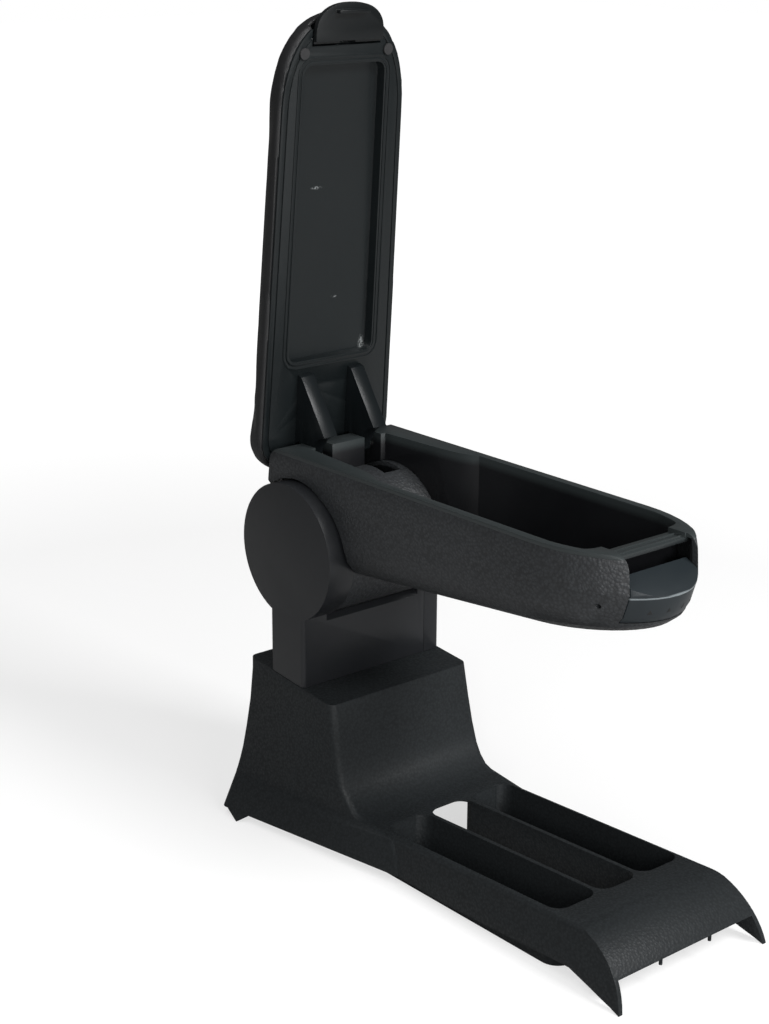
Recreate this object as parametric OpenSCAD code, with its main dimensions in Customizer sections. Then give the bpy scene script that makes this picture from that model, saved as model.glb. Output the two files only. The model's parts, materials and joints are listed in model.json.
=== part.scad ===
// Car centre armrest: a storage bin with a padded lid that tilts on a column,
// which stands on a base console with two trays.
// X runs across the car, +Y to the rear and +Z up. The origin is the middle of the
// bracket's foot bolts, straight under the tilt axis, on the plane that the part stands on.

/* [Base console] */
// Distance from the tilt axis forward to the tips of the front prongs
base_front = 309; // [290:1:330]
// Half width of the deck along its top edge
deck_half_w = 57; // [54:0.5:60]
// Height of the deck where its front curve starts
deck_front_z = 37; // [34:0.5:42]
// Height of the deck at the foot of the pedestal
deck_rear_z = 27.5; // [25:0.5:31]
// Radius of the deck's front curve
front_curve_r = 45; // [40:1:50]
// Height of the deck's front edge between the prongs
front_edge_z = 17; // [14:0.5:20]
// Outward slope of the skirts, in degrees
skirt_slope = 9.7; // [6:0.1:12]
// Height of the lower edge of the skirts
skirt_z = 6; // [3:0.5:9]
// Wall of the console moulding
base_wall = 2.8; // [2:0.1:3.5]
// Radius along the deck's long edges
deck_edge_r = 4.5; // [2:0.5:6]

/* [Trays] */
// Inside width of each tray
tray_w = 34; // [28:0.5:35]
// Inside length of the trays and of the slot between them
tray_len = 157; // [120:1:165]
// Distance from the tilt axis forward to the trays' rear ends
tray_rear = 92; // [90:1:100]
// Width of the open slot between the trays
slot_w = 31.4; // [26:0.2:33]
// Corner radius of the trays
tray_r = 9; // [5:0.5:12]
// Thickness of the trays' floors
tray_floor = 2.6; // [2:0.1:4]

/* [Pedestal] */
// Height of the pedestal's front top edge
ped_front_z = 98; // [90:1:106]
// Slope of the pedestal's top, up to the rear, in degrees
ped_top_slope = 5.2; // [2:0.1:7]
// Distance from the tilt axis to the pedestal's front top edge
ped_front = 46.5; // [44:0.5:50]
// Distance from the tilt axis to the pedestal's rear face
ped_rear = 41; // [38:0.5:46]
// Half width of the pedestal at its rear foot
ped_foot_half_w = 88; // [80:1:92]
// Corner radius of the pedestal
ped_r = 5; // [3:0.5:8]

/* [Column] */
// Width of the column, over the two round heads
column_w = 117.2; // [112:0.2:124]
// Depth of the column, front to back
column_d = 35; // [32:0.5:40]
// Height of the column's front between the heads
column_top = 143.5; // [136:0.5:144]
// Wall of the column moulding
column_wall = 3; // [2:0.1:3.5]
// Thickness of the cover on the right side
cover_t = 13.8; // [12:0.1:14]
// Radius of the column's upright edges
column_edge_r = 3; // [2:0.5:3.5]
// Length of the spigot in the pedestal's top
spigot_len = 22; // [16:1:28]

/* [Tilt joint] */
// Height of the tilt axis
pivot_z = 190; // [186:1:196]
// Radius of the round heads
hub_r = 45.5; // [44:0.5:46]
// Thickness of each round head
hub_t = 19.6; // [18.6:0.1:20.4]
// Radius of the bin's barrel between the heads
barrel_r = 44.5; // [43:0.5:44.5]
// Wall of the barrel
barrel_wall = 3; // [2.4:0.1:3.4]
// Radius of the tilt shaft
shaft_r = 8; // [6:0.5:9]
// Radius of the ratchet over its teeth
ratchet_r = 24; // [20:0.5:26]
// Number of teeth on the ratchet
ratchet_teeth = 24; // [16:1:30]

/* [Steel bracket] */
// Thickness of the bracket's steel
steel_t = 4; // [3:0.5:4]
// Width of the bracket's uprights
upright_w = 22; // [18:1:22]
// Length of the bracket's foot, front to back
foot_len = 68; // [60:1:72]
// Bolt spacing across the car
bolt_x = 60; // [50:1:64]
// Bolt spacing along the car
bolt_y = 48; // [44:1:52]
// Radius of the bolt holes
bolt_hole_r = 4.25; // [3:0.25:5]

/* [Bin] */
// Half width of the bin at its rim
bin_half_w = 48.7; // [46:0.1:51]
// Height of the bin's rim
rim_z = 252.4; // [250:0.2:256]
// Distance from the tilt axis forward to the tip of the bin's nose
bin_nose = 282; // [278:1:290]
// Distance from the tilt axis to the bin's rear face
bin_rear = 31.6; // [30:0.1:31.8]
// Length of the rounded nose
nose_len = 70; // [66:1:76]
// Height of the bin's underside just in front of the barrel
bin_bottom_z = 182.6; // [180:0.2:186]
// Upward slope of the bin's underside to the nose, in degrees
bin_slope = 5.68; // [4:0.02:6.4]
// Radius along the bin's lower edges
bin_edge_r = 18; // [12:0.5:20]
// Wall of the bin's outer shell
shell_wall = 3; // [2.4:0.1:3.2]
// How far the bin's sides bulge
bulge = 1; // [0:0.1:1.2]

/* [Bin liner] */
// Thickness of the rim plate
rim_t = 2.5; // [2:0.1:3]
// Wall of the well
well_wall = 1.8; // [1.5:0.1:2]
// Half width of the well
well_half_w = 42.6; // [40:0.1:43]
// Distance from the tilt axis forward to the front of the well
well_front = 247; // [242:1:248]
// Distance from the tilt axis forward to the narrow rear part of the well
well_rear = 68; // [62:1:72]
// Half width of the narrow rear part of the well
throat_half_w = 34.5; // [33:0.1:35]
// Corner radius of the well
well_r = 14; // [10:0.5:16]
// Width of the rail in front of the well
rail_w = 13; // [11:0.5:14]

/* [Release paddle] */
// Half width of the paddle
paddle_half_w = 27.4; // [24:0.1:28]
// Height of the paddle's front top edge
paddle_z = 228; // [226:0.5:230]
// Height of the paddle's rear top edge
paddle_rear_z = 238.5; // [237:0.1:239]
// Height of the paddle's lower edge
paddle_low_z = 212.5; // [211:0.5:214]
// Radius of the release rod
rod_r = 1.8; // [1.2:0.1:2]

/* [Lid] */
// Half width of the lid at its rear
lid_half_w = 55; // [52:0.1:57]
// Half width of the lid where its nose starts
lid_nose_half_w = 50.7; // [49:0.1:53]
// Distance from the tilt axis forward to the front of the closed lid
lid_front = 261; // [258:1:266]
// Distance of the closed lid's rear edge behind the tilt axis
lid_rear = 34; // [32:0.5:34.5]
// Length of the lid's rounded nose
lid_nose_len = 66; // [56:1:74]
// Thickness of the lid with its padding
lid_t = 20.2; // [18:0.1:24]
// Depth of the liner's moulding
lid_liner_t = 9.3; // [9:0.1:10]
// Thickness of the padding at the lid's sides
pad_side = 2.5; // [2:0.1:4]
// Depth of the panel in the lid's underside
panel_depth = 7; // [4:0.1:7]
// How far the lid stands open, in degrees
lid_open = 85; // [70:1:88]
// Height of the lid's hinge axis
hinge_z = 243; // [242.6:0.1:243.4]
// Distance of the lid's hinge axis behind the tilt axis
hinge_y = 22; // [21.8:0.1:22.2]
// Radius of the lid's hinge pin
hinge_pin_r = 2.5; // [2:0.1:2.6]

/* [Hinge arms] */
// Thickness of each hinge arm
arm_t = 11; // [9:0.5:12]
// Distance from the middle to the outer face of each arm
arm_out = 26.1; // [25.6:0.1:26.4]

/* [Latch lever] */
// Half width of the lever's flap
lever_half_w = 26.4; // [24:0.2:27]
// How far the flap stands out past the lid's front
lever_reach = 5.5; // [4:0.5:7]
// Thickness of the lever's flap
lever_t = 3.4; // [3:0.1:3.8]

/* [Clearances] */
// Gap between the bin and the round heads, on the arc
hub_gap = 1.5; // [1:0.1:2.5]
// Gap between the barrel's ends and the round heads
side_gap = 0.3; // [0.3:0.05:0.6]
// Radial gap of a pin or shaft that turns in its bore
run_gap = 0.05; // [0.03:0.01:0.08]
// Gap between parts that sit in each other
seat_gap = 0.3; // [0.2:0.05:0.5]
// Gap between the round heads and the bracket's uprights
upright_gap = 1; // [0.5:0.1:1.2]
// Gap between the closed lid and the rim
lid_gap = 1.2; // [1:0.1:2]

/* [Hidden] */

$fn = 64;
eps = 0.01;
plastic = "#26292b";
dark_plastic = "#1c1e20";
steel = "#8d9196";
rubber = "#121314";

column_half_w = column_w / 2;
column_half_d = column_d / 2;
cover_x = column_half_w - cover_t;
hub_in = column_half_w - hub_t;
bracket_w = 2 * (hub_in + column_wall + upright_gap + steel_t);
barrel_half_w = hub_in - side_gap;
hub_cut_r = hub_r + hub_gap;
hub_shift = [-3.5, -2];
clamp_z = ped_front_z - 8;
clamp_r = 4;
peg_y = 24;
peg_z = pivot_z + 28;
bin_bottom_y = -47;
rod_height = 6.77;
screw_x = well_half_w - 12.6;
screw_y = [-well_front + 25, -well_rear - 16];
pawl_y = 13.5 - barrel_r;
pawl_z = pivot_z + 22;
nose_open_y = well_front + rail_w + 1;
paddle_pin_y = -nose_open_y + 5;
paddle_pin_z = paddle_z - 5.8;
rod_front_z = paddle_pin_z - 12;
rod_rear_z = pivot_z - 2;
rail_cut_half = paddle_half_w - 0.2;
horn_round_r = 10;
rear_round_r = 17;
lever_y = -lid_front + 16.5;
lever_z = rim_z + 4.6;
arm_screw_y = [hinge_y - 44, hinge_y - 28];
bumper_y = -lid_front + 24.5;

// Points along an arc, from angle a0 to angle a1
function arc(cx, cy, r, a0, a1, n = 8) =
  [for (i = [0:n]) let (a = a0 + (a1 - a0) * i / n) [cx + r * cos(a), cy + r * sin(a)]];

// A rounded end: a superellipse of half width a and length b, from its left end round to its right
function round_end(a, b, power, n = 22) =
  [for (i = [0:n]) let (t = 180 - 180 * i / n)
    [a * sign(cos(t)) * pow(abs(cos(t)), 2 / power), -b * pow(abs(sin(t)), 2 / power)]];

// Extrudes a Y-Z outline from x0 to x1
module along_x(x0, x1) {
  translate([x0, 0, 0]) rotate([90, 0, 90]) linear_extrude(x1 - x0) children();
}

// Extrudes an X-Z outline from y0 to y1
module along_y(y0, y1) {
  translate([0, y1, 0]) rotate([90, 0, 0]) linear_extrude(y1 - y0) children();
}

// A cylinder along X from x0 to x1 at the given Y and Z
module rod_x(x0, x1, y, z, r) {
  translate([x0, y, z]) rotate([0, 90, 0]) cylinder(h = x1 - x0, r = r);
}

// A block between two corners
module block(low, high) {
  translate(low) cube(high - low);
}

module both_sides() {
  children();
  mirror([1, 0, 0]) children();
}

// A flat rounded rectangle between two corners
module rounded_rect(x0, y0, x1, y1, r) {
  translate([x0 + r, y0]) square([x1 - x0 - 2 * r, y1 - y0]);
  translate([x0, y0 + r]) square([x1 - x0, y1 - y0 - 2 * r]);
  for (x = [x0 + r, x1 - r], y = [y0 + r, y1 - r]) translate([x, y]) circle(r);
}

// A closed skin through a stack of outlines that have the same number of points
module loft(rings) {
  n = len(rings[0]);
  last = len(rings) - 1;
  points = [for (ring = rings) each ring];
  sides = [for (k = [0:last - 1], i = [0:n - 1]) let (j = (i + 1) % n)
    each [[k * n + i, (k + 1) * n + i, (k + 1) * n + j], [k * n + i, (k + 1) * n + j, k * n + j]]];
  polyhedron(points, concat([[for (i = [0:n - 1]) i]], sides, [[for (i = [n - 1:-1:0]) last * n + i]]), convexity = 6);
}

// A round wire coil along X, from x = 0
module coil(r, wire_r, turns, pitch) {
  steps = 14;
  sides = 8;
  count = turns * steps;
  ring = function (k) let (a = 360 * k / steps, x = wire_r + pitch * k / steps)
    [for (s = [0:sides - 1]) let (b = 360 * s / sides, q = r + wire_r * cos(b))
      [x + wire_r * sin(b), q * cos(a), q * sin(a)]];
  points = [for (k = [0:count]) each ring(k)];
  faces = [for (k = [0:count - 1], s = [0:sides - 1]) let (t = (s + 1) % sides)
    [k * sides + s, k * sides + t, (k + 1) * sides + t, (k + 1) * sides + s]];
  polyhedron(points, concat([[for (s = [sides - 1:-1:0]) s]], faces,
    [[for (s = [0:sides - 1]) count * sides + s]]), convexity = 8);
}

// Base console

function reverse(list) = [for (i = [len(list) - 1:-1:0]) list[i]];

front_curve_z = deck_front_z - front_curve_r;
tip_angle = acos(-front_curve_z / front_curve_r);
front_curve_y = -base_front + front_curve_r * sin(tip_angle);
ped_foot_y = -78;
flank_y = -118;
deck_slope = atan((deck_front_z - deck_rear_z) / (ped_foot_y - front_curve_y));
skirt_run = tan(skirt_slope);
tray_front_y = -tray_rear - tray_len;
tray_in = slot_w / 2 + base_wall;
tray_out = tray_in + tray_w;
spigot_half_w = column_half_w - 6.6;
spigot_half_d = column_half_d - column_wall;
rear_prong_y = 20;

function deck_z(y) = deck_front_z - (y - front_curve_y) * tan(deck_slope);
function front_curve(inset) = arc(front_curve_y, front_curve_z, front_curve_r - inset, 90 + tip_angle, 90, 12);

// Cross-section of the deck: a trapezoid with rounded top corners
module deck_section(inset) {
  top = deck_front_z - inset;
  low = deck_front_z - 60;
  half = deck_half_w - inset;
  r = max(deck_edge_r - inset, 0.5);
  right = concat([[half + (top - low) * skirt_run, low]], arc(half - r, top - r, r, 0, 90, 6));
  polygon(concat(right, [for (p = reverse(right)) [-p[0], p[1]]]));
}

// The cross-section carried along the deck's slope, from the front past the pedestal's foot
module deck_prism(inset) {
  translate([0, front_curve_y, deck_front_z])
    rotate([-deck_slope, 0, 0])
      translate([0, -front_curve_y, -deck_front_z])
        along_y(-base_front - 20, ped_foot_y + 30) deck_section(inset);
}

// Side outline of the deck and its skirts, with the claw of the front prong
module skirt_outline() {
  rear = ped_foot_y + 22;
  claw = [[7, 2.2], [16, 4.4], [25, 6.8], [34, 9], [42, 11], [58, 10.4], [120, skirt_z + 1.2], [150, skirt_z]];
  polygon(concat(
    [[rear, skirt_z], [rear, deck_z(rear)]],
    reverse(front_curve(0)),
    [for (p = claw) [-base_front + p[0], p[1]]]
  ));
}

// Side outline of the space under the deck, open below and at the front
module under_deck_outline() {
  rear = ped_foot_y + 23;
  low = -10;
  curve = [for (p = front_curve(base_wall)) if (p[1] > front_edge_z) p];
  polygon(concat(
    [[rear, low], [rear, deck_z(rear) - base_wall]],
    reverse(curve),
    [[-base_front - 20, front_edge_z], [-base_front - 20, low]]
  ));
}

// Height, front Y, front half width, rear Y and rear half width of the pedestal's outline
function ped_levels() = [
  [skirt_z, flank_y, skirt_half(skirt_z), ped_rear - 3, ped_foot_half_w - 1],
  [skirt_z + 12, flank_y + 4, skirt_half(skirt_z + 12), ped_rear - 2.6, ped_foot_half_w - 7.5],
  [deck_rear_z - 1, flank_y + 9, skirt_half(deck_rear_z - 1) - 0.4, ped_rear - 2.3, ped_foot_half_w - 12],
  [deck_rear_z + 0.6, ped_foot_y, column_half_w + 0.9, ped_rear - 2.2, ped_foot_half_w - 12.7],
  [deck_rear_z + 3.4, -ped_front - 23.5, column_half_w + 1, ped_rear - 2.1, ped_foot_half_w - 14],
  [36, -ped_front - 18, column_half_w + 1.2, ped_rear - 2, ped_foot_half_w - 16],
  [44, -ped_front - 13.2, column_half_w + 1.3, ped_rear - 1.7, ped_foot_half_w - 18.8],
  [58, -ped_front - 8.8, column_half_w + 1, ped_rear - 1.2, column_half_w + 7],
  [76, -ped_front - 4.6, column_half_w + 0.6, ped_rear - 0.7, column_half_w + 3.2],
  [ped_front_z, -ped_front, column_half_w + 0.3, ped_rear, column_half_w + 0.3],
  [ped_front_z + 14, -ped_front + 2.6, column_half_w + 0.1, ped_rear, column_half_w + 0.1]
];

// Half width of the deck's skirts at the height z, where they meet the pedestal
function skirt_half(z) = deck_half_w + (deck_z(flank_y) - z) * skirt_run + 0.5;

// One rounded outline of the pedestal as a ring of points
function ped_ring(level, inset) =
  let (z = level[0], yf = level[1] + inset, xf = level[2] - inset, yr = level[3] - inset, xr = level[4] - inset,
    r = max(ped_r - inset, 1.5), corner = concat(
      arc(xr - r, yr - r, r, 0, 90, 4),
      [for (p = reverse(arc(xr - r, yr - r, r, 0, 90, 4))) [-p[0], p[1]]],
      arc(-xf + r, yf + r, r, 180, 270, 4),
      arc(xf - r, yf + r, r, 270, 360, 4)))
  [for (p = corner) [p[0], p[1], z]];

module pedestal_form(inset) {
  levels = ped_levels();
  grown = inset > 0 ? concat([[levels[0][0] - 8, levels[0][1], levels[0][2] + 2, levels[0][3], levels[0][4] + 4]], levels) : levels;
  loft([for (level = grown) ped_ring(level, inset)]);
}

// Everything above the pedestal's sloping top, lowered by depth
module above_pedestal(depth) {
  translate([0, -ped_front, ped_front_z - depth])
    rotate([ped_top_slope, 0, 0])
      translate([-200, -100, 0]) cube([400, 300, 200]);
}

// A small pointed prong under each rear corner
module rear_prongs() {
  both_sides() intersection() {
    along_x(ped_foot_half_w - 16, ped_foot_half_w + 4)
      polygon([[rear_prong_y - 9, skirt_z + 8], [rear_prong_y - 8, skirt_z], [rear_prong_y, 0],
        [ped_rear - 4, skirt_z + 3], [ped_rear - 4, skirt_z + 8]]);
    difference() {
      prong_wall(0.2);
      prong_wall(base_wall - 0.2);
    }
  }
}

// The rear corner's side wall carried down to the floor
module prong_wall(inset) {
  low = ped_levels()[0];
  high = ped_levels()[1];
  k = low[0] / (high[0] - low[0]);
  foot = [0, low[1], low[2], low[3], low[4] + (low[4] - high[4]) * k];
  loft([ped_ring(foot, inset), ped_ring(low, inset), ped_ring(high, inset)]);
}

module tray_box(x0, x1) {
  translate([0, 0, 0]) linear_extrude(deck_front_z + 10)
    rounded_rect(x0 - base_wall, tray_front_y - base_wall, x1 + base_wall, -tray_rear + base_wall, tray_r + base_wall);
}

module tray_space(x0, x1, floor_z) {
  translate([0, 0, floor_z]) linear_extrude(deck_front_z + 20)
    rounded_rect(x0, tray_front_y, x1, -tray_rear, tray_r);
}

// Two small pegs that hang from the deck's front edge
module front_pegs() {
  edge_y = front_curve_y - sqrt(pow(front_curve_r, 2) - pow(front_edge_z - front_curve_z, 2));
  both_sides() translate([21, edge_y + 1.4, front_edge_z - 3.5]) cylinder(h = 4.5, r = 1.1, $fn = 24);
}

module base_console() {
  color(plastic) difference() {
    union() {
      difference() {
        union() {
          intersection() {
            deck_prism(0);
            along_x(-100, 100) skirt_outline();
          }
          difference() {
            pedestal_form(0);
            above_pedestal(0);
          }
        }
        intersection() {
          deck_prism(base_wall);
          along_x(-100, 100) under_deck_outline();
        }
        difference() {
          pedestal_form(base_wall);
          above_pedestal(base_wall);
        }
      }
      intersection() {
        union() {
          tray_box(tray_in, tray_out);
          tray_box(-tray_out, -tray_in);
        }
        tray_limits();
      }
      rear_prongs();
      front_pegs();
    }
    tray_space(tray_in, tray_out, tray_floor);
    tray_space(-tray_out, -tray_in, tray_floor);
    tray_space(-slot_w / 2, slot_w / 2, -1);
    translate([-spigot_half_w - seat_gap, -spigot_half_d - seat_gap, ped_front_z - 20])
      cube([2 * (spigot_half_w + seat_gap), 2 * (spigot_half_d + seat_gap), 40]);
  }
}

// What lies under the deck's top, so that the tray walls end at it
module tray_limits() {
  along_x(-100, 100) polygon(concat(
    [[-tray_rear + 30, 0], [-tray_rear + 30, deck_z(-tray_rear + 30) - 1]],
    [[front_curve_y, deck_front_z - 1], [front_curve_y, 0]]));
}

// Steel bracket, bolts and column

module upright_outline() {
  translate([-upright_w / 2, 0]) square([upright_w, pivot_z]);
  translate([0, pivot_z]) circle(upright_w / 2 + 3);
}

module support_bracket() {
  inner = bracket_w / 2 - steel_t;
  color(steel) difference() {
    union() {
      block([-bracket_w / 2, -foot_len / 2, 0], [bracket_w / 2, foot_len / 2, steel_t]);
      both_sides() along_x(inner, bracket_w / 2) upright_outline();
      both_sides() along_y(-2, 2) polygon([[inner - 14, steel_t], [inner, steel_t], [inner, steel_t + 18]]);
    }
    for (x = [-bolt_x / 2, bolt_x / 2], y = [-bolt_y / 2, bolt_y / 2])
      translate([x, y, -1]) cylinder(h = steel_t + 2, r = bolt_hole_r);
    rod_x(-bracket_w, bracket_w, 0, pivot_z, shaft_r + run_gap);
    rod_x(-bracket_w, bracket_w, 0, clamp_z, clamp_r + 0.1);
  }
}

module hexagon_x(x0, x1, y, z, across) {
  translate([x0, y, z]) rotate([0, 90, 0]) cylinder(h = x1 - x0, r = across / sqrt(3), $fn = 6);
}

module clamp_bolt() {
  color(steel) {
    rod_x(-spigot_half_w - 1, spigot_half_w + 3.6, 0, clamp_z, clamp_r);
    hexagon_x(-spigot_half_w - 3.8, -spigot_half_w, 0, clamp_z, 12);
  }
}

module clamp_nut() {
  color(steel) difference() {
    hexagon_x(spigot_half_w, spigot_half_w + 3.6, 0, clamp_z, 12);
    rod_x(spigot_half_w - 1, spigot_half_w + 5, 0, clamp_z, clamp_r + run_gap);
  }
}

// The column's upright part from low to high and from x0 to x1, drawn in by inset
module column_prism(low, high, x0, x1, inset) {
  intersection() {
    translate([0, 0, low]) linear_extrude(high - low) rounded_rect(-column_half_w + inset, -column_half_d + inset,
      column_half_w - inset, column_half_d - inset, max(column_edge_r - inset, 0.5));
    block([x0, -column_half_d, low - 1], [x1, column_half_d, high + 1]);
  }
}

// A round head with its neck
module head(x0, x1, inset, low) {
  rod_x(x0, x1, 0, pivot_z, hub_r - inset, $fn = 96);
  column_prism(low, pivot_z, x0, x1, inset);
}

// The column's top between the heads, hollowed to the barrel's round
module saddle() {
  difference() {
    along_x(-hub_in - 1, hub_in + 1) polygon([[-column_half_d, column_top - 6], [-column_half_d, column_top],
      [-column_half_d + 4.5, column_top + 4], [column_half_d - 4.5, column_top + 4], [column_half_d, column_top],
      [column_half_d, column_top - 6]]);
    rod_x(-hub_in - 2, hub_in + 2, 0, pivot_z, barrel_r + 0.8, $fn = 96);
  }
}

module column_body() {
  w = column_wall;
  color(plastic) difference() {
    union() {
      difference() {
        union() {
          intersection() {
            column_prism(90, column_top, -column_half_w, cover_x, 0);
            above_pedestal(-seat_gap);
          }
          saddle();
          head(-column_half_w, -hub_in, 0, column_top - 8);
          head(hub_in, cover_x, 0, column_top - 8);
          block([-spigot_half_w, -spigot_half_d, ped_front_z - spigot_len + 4], [cover_x, spigot_half_d, 108]);
          difference() {
            block([0, -spigot_half_d, ped_front_z - spigot_len + 4], [spigot_half_w, spigot_half_d, 110]);
            above_pedestal(0);
          }
        }
        intersection() {
          block([-column_half_w + w, -column_half_d + w, 90], [cover_x + 1, column_half_d - w, column_top - w]);
          above_pedestal(-seat_gap - w);
        }
        head(-column_half_w + w, -hub_in - w, w, column_top - 12);
        head(hub_in + w, cover_x + 1, w, column_top - 12);
        block([-spigot_half_w + 2.5, -spigot_half_d + 2.5, 60], [spigot_half_w - 2.5, spigot_half_d - 2.5, 108]);
      }
      for (y = [-peg_y, peg_y]) rod_x(hub_in + 1, cover_x, y, peg_z, 3.6);
    }
    rod_x(-hub_in - w - 1, hub_in + w + 1, 0, pivot_z, shaft_r + 0.6);
    for (y = [-peg_y, peg_y]) rod_x(hub_in - 1, cover_x + 1, y, peg_z, 2.05);
    rod_x(-80, 80, 0, clamp_z, clamp_r + 0.1);
  }
}

module column_cover() {
  w = column_wall;
  color(plastic) {
    difference() {
      intersection() {
        head(cover_x + 0.3, column_half_w, 0, 90);
        above_pedestal(-seat_gap);
      }
      intersection() {
        head(cover_x - 1, column_half_w - w, w, 90);
        above_pedestal(-seat_gap - w);
      }
      block([cover_x - 1, -spigot_half_d + 2.5, 60], [spigot_half_w - 2.5, spigot_half_d - 2.5, 114]);
    }
    for (y = [-peg_y, peg_y]) rod_x(hub_in + 0.6, column_half_w - w + 0.5, y, peg_z, 2);
    for (y = [-1, 1]) translate([0, y * (column_half_d - w - 1.4), 0])
      block([cover_x - 8, -1.1, 112], [column_half_w - w + 0.5, 1.1, 128]);
  }
}

// Tilt joint

module tilt_shaft() {
  color(steel) difference() {
    union() {
      rod_x(-bracket_w / 2, bracket_w / 2 + 1.6, 0, pivot_z, shaft_r);
      rod_x(-bracket_w / 2 - 7, -bracket_w / 2, 0, pivot_z, shaft_r - 1);
      rod_x(bracket_w / 2 + 1.6, bracket_w / 2 + 5.6, 0, pivot_z, 13);
    }
    hexagon_x(bracket_w / 2 + 3, bracket_w / 2 + 6, 0, pivot_z, 8);
  }
}

module shaft_washers() {
  color(steel) difference() {
    rod_x(bracket_w / 2, bracket_w / 2 + 1.6, 0, pivot_z, 14);
    rod_x(bracket_w / 2 - 1, bracket_w / 2 + 3, 0, pivot_z, shaft_r + run_gap);
  }
}

module shaft_nut() {
  color(steel) difference() {
    hexagon_x(-bracket_w / 2 - 6, -bracket_w / 2, 0, pivot_z, 22);
    rod_x(-bracket_w / 2 - 7, -bracket_w / 2 + 1, 0, pivot_z, shaft_r - 1 + run_gap);
  }
}

module ratchet_wheel() {
  step = 360 / ratchet_teeth;
  color(steel) difference() {
    along_x(-3, 3) translate([0, pivot_z]) polygon([for (i = [0:ratchet_teeth - 1])
      each [[ratchet_r * cos(i * step), ratchet_r * sin(i * step)],
        [(ratchet_r - 2.2) * cos((i + 0.12) * step), (ratchet_r - 2.2) * sin((i + 0.12) * step)]]]);
    rod_x(-4, 4, 0, pivot_z, shaft_r + run_gap);
  }
}

module bush() {
  difference() {
    union() {
      rod_x(barrel_half_w - barrel_wall - 1.5, barrel_half_w - barrel_wall, 0, pivot_z, 14);
      rod_x(barrel_half_w - barrel_wall - 0.5, barrel_half_w, 0, pivot_z, 11);
    }
    rod_x(barrel_half_w - 10, barrel_half_w + 1, 0, pivot_z, shaft_r + run_gap);
  }
}

module right_bush() {
  color(dark_plastic) bush();
}

module left_bush() {
  color(dark_plastic) mirror([1, 0, 0]) bush();
}

// Bin

// Places its children on the sloping plane of the bin's underside
module on_bin_floor() {
  translate([0, bin_bottom_y, bin_bottom_z])
    rotate([-bin_slope, 0, 0])
      translate([0, -bin_bottom_y, 0]) children();
}

// Plan outline of the bin, drawn in by inset
function bin_outline(inset) =
  let (a = bin_half_w - inset, y = bin_rear - inset, r = 4, corner = arc(a - r, y - r, r, 0, 90, 4))
    concat(
      [for (p = round_end(a, nose_len - inset, 2)) [p[0], p[1] - bin_nose + nose_len]],
      corner,
      [for (p = reverse(corner)) [-p[0], p[1]]]);

module bin_plate(z, inset) {
  translate([0, 0, z]) linear_extrude(0.02) polygon(bin_outline(inset));
}

module floor_plate(height, inset) {
  on_bin_floor() translate([0, 0, height]) linear_extrude(0.02) intersection() {
    polygon(bin_outline(inset));
    translate([-100, -400]) square([200, 380]);
  }
}

// The bin's outer form with rounded lower edges, drawn in by inset
module bin_form(inset) {
  top = rim_z - rim_t;
  r = bin_edge_r - inset;
  hull() {
    bin_plate(top + (inset > 0 ? 1 : -0.02), inset + 0.4);
    bin_plate(top - 5, inset - 0.2);
    bin_plate(top - 20, inset - bulge);
    for (t = [0, 22, 45, 68, 90])
      floor_plate(inset + r * (1 - sin(t)), inset + r * (1 - cos(t)) - 0.6 * cos(t));
  }
}

// Rounds the rear edge, which leaves room for the lid as it swings
module rear_round() {
  difference() {
    along_x(-80, 80) translate([hinge_y - 7, hinge_z - 6]) square(30);
    rod_x(-81, 81, hinge_y - 7, hinge_z - 6, rear_round_r);
  }
}

// Rounds the upper corners of the shell's ends at the nose
module horn_round() {
  y = -nose_open_y + 1.5;
  z = rim_z - horn_round_r;
  difference() {
    along_x(-80, 80) translate([y - 40, z]) square([40, 30]);
    rod_x(-81, 81, y, z, horn_round_r);
  }
}

module arm_slots() {
  both_sides() block([arm_out - arm_t - 1.6, hinge_y - 34.5, hinge_z - 29], [arm_out + 1.4, hinge_y + 5.3, rim_z + 18]);
}

module bin_shell() {
  inner = barrel_half_w - barrel_wall;
  color(plastic) difference() {
    union() {
      difference() {
        union() {
          difference() {
            bin_form(0);
            bin_form(shell_wall);
          }
          intersection() {
            bin_form(0);
            both_sides() for (d = [[0, 0], hub_shift])
              rod_x(inner, bin_half_w + 4, d[0], pivot_z + d[1], hub_cut_r + shell_wall, $fn = 96);
          }
          rod_x(-barrel_half_w, barrel_half_w, 0, pivot_z, barrel_r, $fn = 96);
          intersection() {
            bin_form(1.5);
            both_sides() rod_x(paddle_half_w + 0.8, bin_half_w, paddle_pin_y, paddle_pin_z, 4.5);
          }
          on_bin_floor() for (x = [-screw_x, screw_x], y = screw_y)
            translate([x, y, shell_wall - 0.5]) cylinder(h = 7.2, r = 3.5, $fn = 32);
        }
        both_sides() for (d = [[0, 0], hub_shift])
          rod_x(barrel_half_w, bin_half_w + 20, d[0], pivot_z + d[1], hub_cut_r, $fn = 96);
        rod_x(-inner, inner, 0, pivot_z, barrel_r - barrel_wall, $fn = 96);
      }
      both_sides() intersection() {
        rod_x(3, 6, pawl_y, pawl_z, 5.5);
        rod_x(2, 7, 0, pivot_z, barrel_r - 1.5, $fn = 96);
      }
    }
    rod_x(-bin_half_w, bin_half_w, 0, pivot_z, 11 + run_gap);
    rod_x(-8, 8, pawl_y, pawl_z, 1.5 + run_gap);
    rod_x(-40, 40, paddle_pin_y, paddle_pin_z, 1.5 + run_gap);
    arm_slots();
    rear_round();
    horn_round();
    block([-paddle_half_w - 0.6, -bin_nose - 5, paddle_low_z - 0.5], [paddle_half_w + 0.6, -nose_open_y, rim_z + 8]);
    on_bin_floor() translate([0, -30, rod_height]) rotate([90, 0, 0]) cylinder(h = 30, r = 3.2);
    on_bin_floor() for (x = [-screw_x, screw_x], y = screw_y)
      translate([x, y, shell_wall]) cylinder(h = 8, r = 1.45, $fn = 24);
  }
}

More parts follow.
